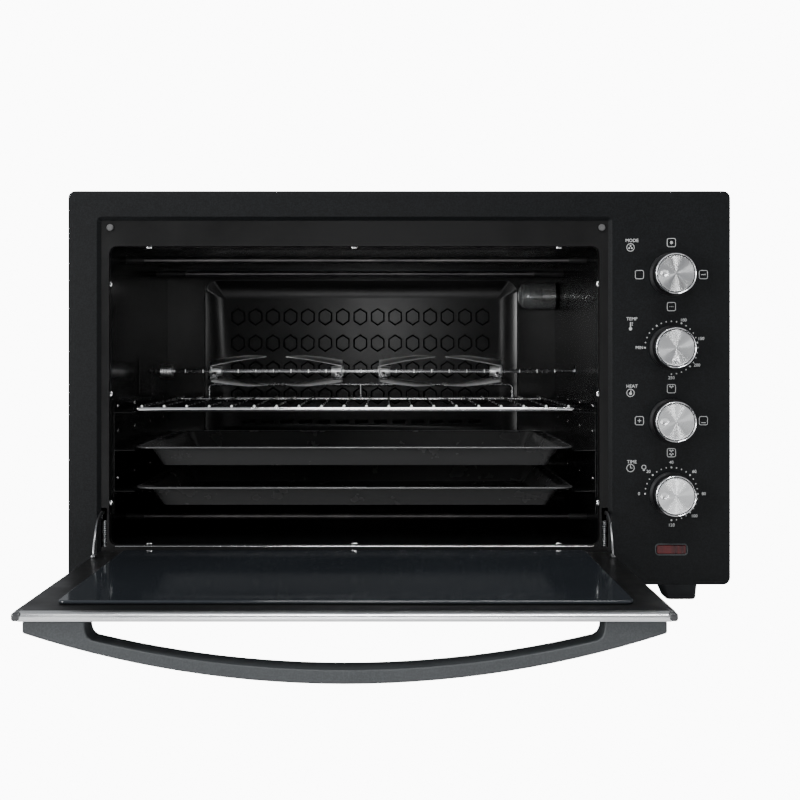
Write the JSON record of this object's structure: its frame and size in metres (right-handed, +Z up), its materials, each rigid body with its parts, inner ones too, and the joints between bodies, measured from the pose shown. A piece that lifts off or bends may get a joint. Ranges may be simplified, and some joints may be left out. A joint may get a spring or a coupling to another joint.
{
  "type": "rotisserie oven",
  "caption": "Countertop rotisserie oven with a drop-down glass door shown open, a spit with meat forks, a wire rack, trays, heating tubes and a knob panel.",
  "frame": {"origin": "on the worktop plane under the feet, at the centre of the whole box with the door open", "axes": "+X to the oven's right as its user sees it, +Y to the back, +Z up; the door opens towards -Y"},
  "size_m": [0.662, 0.803, 0.4183],
  "materials": {
    "front_black": "satin black paint with a fine grain",
    "case_black": "fine-textured black powder coat",
    "seat_enamel": "semi-gloss dark enamel",
    "cavity_enamel": "semi-gloss dark grey enamel",
    "tray_enamel": "glossy dark enamel",
    "chrome_wire": "bright chrome plating",
    "heater_sheath": "satin stainless sheath",
    "knob_metal": "spun aluminium cap with a bright rim on a black skirt",
    "trim_aluminium": "brushed anodised profile",
    "handle_plastic": "matte dark grey moulding",
    "black_plastic": "black moulding",
    "door_glass": "black tinted toughened glass",
    "lamp_glass": "clear moulded glass",
    "bare_steel": "zinc-plated sheet",
    "grey_rubber": "matte grey silicone rubber",
    "lamp_red": "clear red lens"
  },
  "bodies": {
    "housing": {"front_panel": "front_black", "door_seat_frame": "seat_enamel", "outer_cover": "case_black", "base_plate": "case_black", "rear_panel": "case_black", "cord_gland": "black_plastic", "foot_front_left": "black_plastic", "foot_front_right": "black_plastic", "foot_rear_left": "black_plastic", "foot_rear_right": "black_plastic", "door_bumper_left": "grey_rubber", "door_bumper_right": "grey_rubber", "cavity_floor": "cavity_enamel", "cavity_ceiling": "cavity_enamel", "cavity_left_wall": "cavity_enamel", "cavity_right_wall": "cavity_enamel", "cavity_back_wall": "cavity_enamel", "back_reflector": "cavity_enamel", "shelf_runner_left": "cavity_enamel", "shelf_runner_right": "cavity_enamel", "heater_upper_front": "heater_sheath", "heater_upper_rear": "heater_sheath", "heater_lower_front": "heater_sheath", "heater_lower_rear": "heater_sheath", "lamp_glass": "lamp_glass", "lamp_holder": "bare_steel", "spit_bracket": "bare_steel", "rotisserie_motor": "bare_steel", "door_spring_left": "bare_steel", "door_spring_right": "bare_steel", "mode_switch": "black_plastic", "thermostat": "black_plastic", "heat_switch": "black_plastic", "timer_unit": "black_plastic", "indicator_lens": "lamp_red", "fan_motor": "bare_steel"},
    "door": {"door_outer_glass": "door_glass", "door_frame": "seat_enamel", "door_inner_glass": "door_glass", "door_trim": "trim_aluminium", "door_handle": "handle_plastic", "hinge_arm_left": "bare_steel", "hinge_arm_right": "bare_steel"},
    "spit": {"spit_rod": "chrome_wire"},
    "rack": {"wire_rack": "chrome_wire"},
    "upper_tray": {"tray_upper": "tray_enamel"},
    "lower_tray": {"tray_lower": "tray_enamel"},
    "fan": {"convection_fan": "bare_steel"},
    "mode_control": {"mode_knob": "knob_metal"},
    "temperature_control": {"temperature_knob": "knob_metal"},
    "heat_control": {"heat_knob": "knob_metal"},
    "timer_control": {"timer_knob": "knob_metal"},
    "fork_left_outer_body": {"fork_left_outer": "chrome_wire"},
    "screw_left_outer": {"thumbscrew_left_outer": "chrome_wire"},
    "fork_left_inner_body": {"fork_left_inner": "chrome_wire"},
    "screw_left_inner": {"thumbscrew_left_inner": "chrome_wire"},
    "fork_right_inner_body": {"fork_right_inner": "chrome_wire"},
    "screw_right_inner": {"thumbscrew_right_inner": "chrome_wire"},
    "fork_right_outer_body": {"fork_right_outer": "chrome_wire"},
    "screw_right_outer": {"thumbscrew_right_outer": "chrome_wire"}
  },
  "joints": [
    {"name": "door_hinge", "type": "hinge", "parent": "housing", "child": "door", "pos_m": [-0.04475, -0.06735, 0.0548], "axis": [1, 0, 0], "range_deg": [-90, 0], "deforming": ["door_spring_left", "door_spring_right"]},
    {"name": "mode_turn", "type": "hinge", "parent": "housing", "child": "mode_control", "pos_m": [0.27215, -0.06455, 0.3347], "axis": [0, 1, 0], "range_deg": [0, 270]},
    {"name": "temperature_turn", "type": "hinge", "parent": "housing", "child": "temperature_control", "pos_m": [0.27215, -0.06455, 0.2616], "axis": [0, 1, 0], "range_deg": [-270, 0]},
    {"name": "heat_turn", "type": "hinge", "parent": "housing", "child": "heat_control", "pos_m": [0.27215, -0.06455, 0.1886], "axis": [0, 1, 0], "range_deg": [0, 270]},
    {"name": "timer_turn", "type": "hinge", "parent": "housing", "child": "timer_control", "pos_m": [0.27215, -0.06455, 0.1155], "axis": [0, 1, 0], "range_deg": [0, 270]},
    {"name": "fan_spin", "type": "hinge", "parent": "housing", "child": "fan", "pos_m": [-0.045, 0.33945, 0.246], "axis": [0, 1, 0], "continuous": true},
    {"name": "spit_spin", "type": "hinge", "parent": "housing", "child": "spit", "pos_m": [-0.035, 0.12545, 0.2355], "axis": [1, 0, 0], "continuous": true},
    {"name": "fork_left_outer_slide", "type": "slide", "parent": "spit", "child": "fork_left_outer_body", "axis": [1, 0, 0], "range_m": [-0.038, 0.015]},
    {"name": "screw_left_outer_turn", "type": "hinge", "parent": "fork_left_outer_body", "child": "screw_left_outer", "pos_m": [-0.207, 0.12545, 0.2355], "axis": [0, -0.891, -0.454], "range_deg": [-270, 0]},
    {"name": "fork_left_inner_slide", "type": "slide", "parent": "spit", "child": "fork_left_inner_body", "axis": [1, 0, 0], "range_m": [-0.015, 0.03]},
    {"name": "screw_left_inner_turn", "type": "hinge", "parent": "fork_left_inner_body", "child": "screw_left_inner", "pos_m": [-0.0673, 0.12545, 0.2355], "axis": [0, -0.891, -0.454], "range_deg": [-270, 0]},
    {"name": "fork_right_inner_slide", "type": "slide", "parent": "spit", "child": "fork_right_inner_body", "axis": [1, 0, 0], "range_m": [-0.025, 0.005]},
    {"name": "screw_right_inner_turn", "type": "hinge", "parent": "fork_right_inner_body", "child": "screw_right_inner", "pos_m": [-0.0166, 0.12545, 0.2355], "axis": [0, -0.891, -0.454], "range_deg": [-270, 0]},
    {"name": "fork_right_outer_slide", "type": "slide", "parent": "spit", "child": "fork_right_outer_body", "axis": [1, 0, 0], "range_m": [-0.005, 0.06]},
    {"name": "screw_right_outer_turn", "type": "hinge", "parent": "fork_right_outer_body", "child": "screw_right_outer", "pos_m": [0.1122, 0.12545, 0.2355], "axis": [0, -0.891, -0.454], "range_deg": [-270, 0]},
    {"name": "rack_slide", "type": "slide", "parent": "housing", "child": "rack", "axis": [0, -1, 0], "range_m": [0, 0.25]},
    {"name": "upper_tray_slide", "type": "slide", "parent": "housing", "child": "upper_tray", "axis": [0, -1, 0], "range_m": [0, 0.25]},
    {"name": "lower_tray_slide", "type": "slide", "parent": "housing", "child": "lower_tray", "axis": [0, -1, 0], "range_m": [0, 0.25]}
  ]
}
